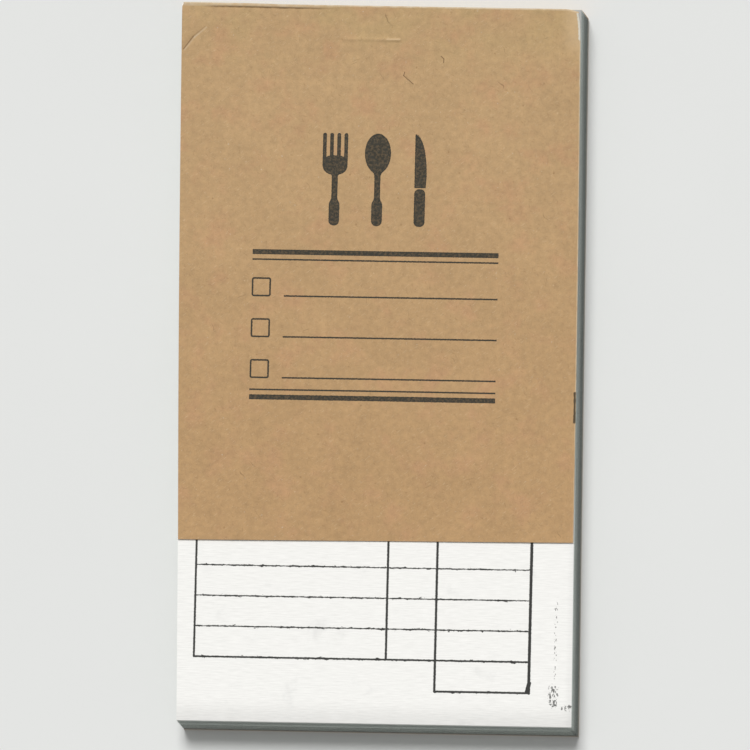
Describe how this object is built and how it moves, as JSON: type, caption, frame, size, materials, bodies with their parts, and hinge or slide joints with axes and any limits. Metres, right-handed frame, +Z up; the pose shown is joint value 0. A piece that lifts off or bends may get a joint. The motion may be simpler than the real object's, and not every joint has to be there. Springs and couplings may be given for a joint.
{
  "type": "guest check pad",
  "caption": "Top-bound pad of carbonless guest checks in a short brown kraft wrap that flips over the bound edge. The top original and copy tear off along a perforation.",
  "frame": {"origin": "under the middle of the pad, on the back of the kraft wrap", "axes": "+X to the right of the face, +Y towards the bound top edge, +Z up out of the face"},
  "size_m": [0.0821, 0.145, 0.0087],
  "materials": {
    "kraft": "unbleached brown kraft, matt",
    "original_paper": "white carbonless sheet, matt",
    "copy_paper": "pale green carbonless sheet, matt",
    "check_paper": "white and pale green carbonless sheets, matt",
    "board": "grey recycled board, matt",
    "glue": "dried padding glue",
    "wire": "galvanised stitching wire"
  },
  "bodies": {
    "pad": {"back_cover": "kraft", "spine_strip": "kraft", "backing_board": "board", "spine_glue": "glue", "staple": "wire", "original_stub": "original_paper", "copy_stub": "copy_paper", "check_set_02": "check_paper", "check_set_03": "check_paper", "check_set_04": "check_paper", "check_set_05": "check_paper", "check_set_06": "check_paper", "check_set_07": "check_paper", "check_set_08": "check_paper", "check_set_09": "check_paper", "check_set_10": "check_paper", "check_set_11": "check_paper", "check_set_12": "check_paper", "check_set_13": "check_paper", "check_set_14": "check_paper", "check_set_15": "check_paper", "check_set_16": "check_paper", "check_set_17": "check_paper", "check_set_18": "check_paper", "check_set_19": "check_paper", "check_set_20": "check_paper", "check_set_21": "check_paper", "check_set_22": "check_paper", "check_set_23": "check_paper", "check_set_24": "check_paper", "check_set_25": "check_paper", "check_set_26": "check_paper", "check_set_27": "check_paper", "check_set_28": "check_paper", "check_set_29": "check_paper", "check_set_30": "check_paper", "check_set_31": "check_paper", "check_set_32": "check_paper", "check_set_33": "check_paper", "check_set_34": "check_paper", "check_set_35": "check_paper", "check_set_36": "check_paper", "check_set_37": "check_paper", "check_set_38": "check_paper", "check_set_39": "check_paper", "check_set_40": "check_paper", "check_set_41": "check_paper", "check_set_42": "check_paper", "check_set_43": "check_paper", "check_set_44": "check_paper", "check_set_45": "check_paper", "check_set_46": "check_paper", "check_set_47": "check_paper", "check_set_48": "check_paper", "check_set_49": "check_paper", "check_set_50": "check_paper"},
    "cover": {"front_cover": "kraft"},
    "original": {"top_original": "original_paper"},
    "copy": {"top_copy": "copy_paper"}
  },
  "joints": [
    {"name": "cover_flip", "type": "hinge", "parent": "pad", "child": "cover", "pos_m": [0, 0.0725, 0.00811], "axis": [-1, 0, 0], "range_deg": [0, 184]},
    {"name": "original_tear_off", "type": "slide", "parent": "pad", "child": "original", "axis": [0, -1, 0], "range_m": [0, 0.14]},
    {"name": "copy_tear_off", "type": "slide", "parent": "pad", "child": "copy", "axis": [0, -1, 0], "range_m": [0, 0.14]}
  ]
}
